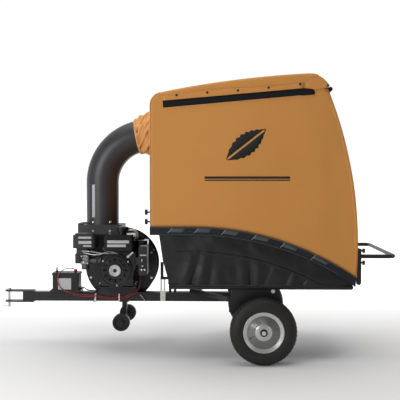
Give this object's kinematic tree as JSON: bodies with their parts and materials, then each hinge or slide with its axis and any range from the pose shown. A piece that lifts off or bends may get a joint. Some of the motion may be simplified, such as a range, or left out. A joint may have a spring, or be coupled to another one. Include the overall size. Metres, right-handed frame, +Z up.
{
  "type": "leaf vacuum mulcher",
  "caption": "Tow-behind leaf vacuum: engine-driven mulching blower, discharge elbow and a tilting fabric collector with a top-hinged rear door on a two-wheel frame.",
  "frame": {"origin": "on the ground, in the middle of the machine's length and width", "axes": "+X points from the hitch to the rear handle, +Y to the machine's right, where the blower intake is, and +Z up"},
  "size_m": [2.5536, 1.22, 1.7613],
  "materials": {
    "black_plastic": "moulded",
    "cover_fabric": "coated woven fabric",
    "duct_plastic": "dark grey moulded",
    "engine_casting": "cast",
    "engine_paint": "semi-gloss black",
    "frame_steel": "satin black paint",
    "lead_insulation": "smooth",
    "rail_paint": "slate grey paint",
    "rim_paint": "silver paint",
    "rubber": "soft",
    "tub_vinyl": "coated black vinyl fabric",
    "tyre_rubber": "treaded rubber",
    "zinc_steel": "zinc plated"
  },
  "bodies": {
    "chassis": {"tongue_beam": "frame_steel", "hitch_clevis": "frame_steel", "axle_carrier": "frame_steel", "axle": "zinc_steel", "frame_braces": "frame_steel", "rest_bumpers": "rubber", "engine_platform": "frame_steel", "battery_tray": "frame_steel", "battery": "black_plastic", "battery_leads": "lead_insulation", "beam_bolts": "zinc_steel", "wheel_retainers": "zinc_steel", "jack_socket": "frame_steel", "crankcase": "engine_paint", "cylinder_head": "engine_paint", "spark_plug": "zinc_steel", "fan_shroud": "engine_paint", "recoil_cover": "engine_paint", "starter_rope": "rubber", "fuel_tank": "engine_paint", "air_cleaner": "black_plastic", "carburettor": "engine_casting", "muffler": "engine_paint", "control_box": "black_plastic", "blower_scroll": "frame_steel", "blower_back_plate": "frame_steel", "blower_cover": "frame_steel", "machine_bolts": "zinc_steel", "discharge_duct": "duct_plastic", "pivot_pins": "zinc_steel"},
    "hitch_pin_set": {"hitch_pin": "zinc_steel", "hitch_clip": "zinc_steel"},
    "jack": {"jack_leg": "frame_steel"},
    "jack_wheel_l": {"jack_wheel_left": "black_plastic"},
    "jack_wheel_r": {"jack_wheel_right": "black_plastic"},
    "starter": {"starter_grip": "black_plastic"},
    "cap": {"fuel_cap": "black_plastic"},
    "choke": {"choke_lever": "black_plastic"},
    "throttle": {"throttle_lever": "zinc_steel"},
    "key": {"ignition_key": "zinc_steel"},
    "crank": {"crankshaft": "zinc_steel", "flywheel": "engine_casting", "impeller": "frame_steel"},
    "wheel_l": {"tyre_left": "tyre_rubber", "rim_left": "rim_paint"},
    "wheel_r": {"tyre_right": "tyre_rubber", "rim_right": "rim_paint"},
    "latch": {"dump_latch": "zinc_steel"},
    "collector": {"lower_frame": "frame_steel", "side_rails": "rail_paint", "cover_bows": "frame_steel", "cover_sides": "cover_fabric", "cover_roof": "cover_fabric", "cover_front": "cover_fabric", "hammock": "tub_vinyl", "chute_sleeve": "cover_fabric", "clamp_knobs": "black_plastic"},
    "door": {"door_frame": "frame_steel", "rear_panel": "cover_fabric", "push_handle": "frame_steel"}
  },
  "joints": [
    {"name": "left_wheel_spin", "type": "hinge", "parent": "chassis", "child": "wheel_l", "pos_m": [0.456, -0.54, 0.203], "axis": [0, 1, 0], "continuous": true},
    {"name": "right_wheel_spin", "type": "hinge", "parent": "chassis", "child": "wheel_r", "pos_m": [0.456, 0.54, 0.203], "axis": [0, 1, 0], "continuous": true},
    {"name": "jack_extend", "type": "slide", "parent": "chassis", "child": "jack", "axis": [0, 0, -1], "range_m": [0, 0.09]},
    {"name": "left_jack_wheel_spin", "type": "hinge", "parent": "jack", "child": "jack_wheel_l", "pos_m": [-0.447, -0.185, 0.187], "axis": [0, 1, 0], "continuous": true},
    {"name": "right_jack_wheel_spin", "type": "hinge", "parent": "jack", "child": "jack_wheel_r", "pos_m": [-0.447, 0.185, 0.187], "axis": [0, 1, 0], "continuous": true},
    {"name": "crank_spin", "type": "hinge", "parent": "chassis", "child": "crank", "pos_m": [-0.478, 0.1, 0.532], "axis": [0, 1, 0], "continuous": true},
    {"name": "hitch_pin_lift", "type": "slide", "parent": "chassis", "child": "hitch_pin_set", "axis": [0, 0, 1], "range_m": [0, 0.025]},
    {"name": "dump_latch_swing", "type": "hinge", "parent": "chassis", "child": "latch", "pos_m": [-0.187, -0.04, 0.318], "axis": [0, -1, 0], "range_deg": [0, 35]},
    {"name": "starter_pull", "type": "slide", "parent": "chassis", "child": "starter", "axis": [-0.9659, 0, 0.2588], "range_m": [0, 0.5], "stiffness_N_per_m": 20, "springref_m": -0.1, "deforming": ["starter_rope"]},
    {"name": "fuel_cap_turn", "type": "hinge", "parent": "chassis", "child": "cap", "pos_m": [-0.448, -0.118, 0.78], "axis": [0, 0, 1], "range_deg": [0, 90]},
    {"name": "choke_swing", "type": "hinge", "parent": "chassis", "child": "choke", "pos_m": [-0.709, -0.172, 0.588], "axis": [0, 1, 0], "range_deg": [0, 55]},
    {"name": "throttle_swing", "type": "hinge", "parent": "chassis", "child": "throttle", "pos_m": [-0.4, -0.209, 0.616], "axis": [0, 1, 0], "range_deg": [0, 40]},
    {"name": "key_turn", "type": "hinge", "parent": "chassis", "child": "key", "pos_m": [-0.304, -0.255, 0.6], "axis": [0, 1, 0], "range_deg": [0, 60]},
    {"name": "dump_tilt", "type": "hinge", "parent": "chassis", "child": "collector", "pos_m": [0.52, 0, 0.43], "axis": [0, 1, 0], "range_deg": [0, 45]},
    {"name": "rear_door_swing", "type": "hinge", "parent": "collector", "child": "door", "pos_m": [0.864, 0, 1.666], "axis": [0, -1, 0], "range_deg": [0, 75]}
  ]
}
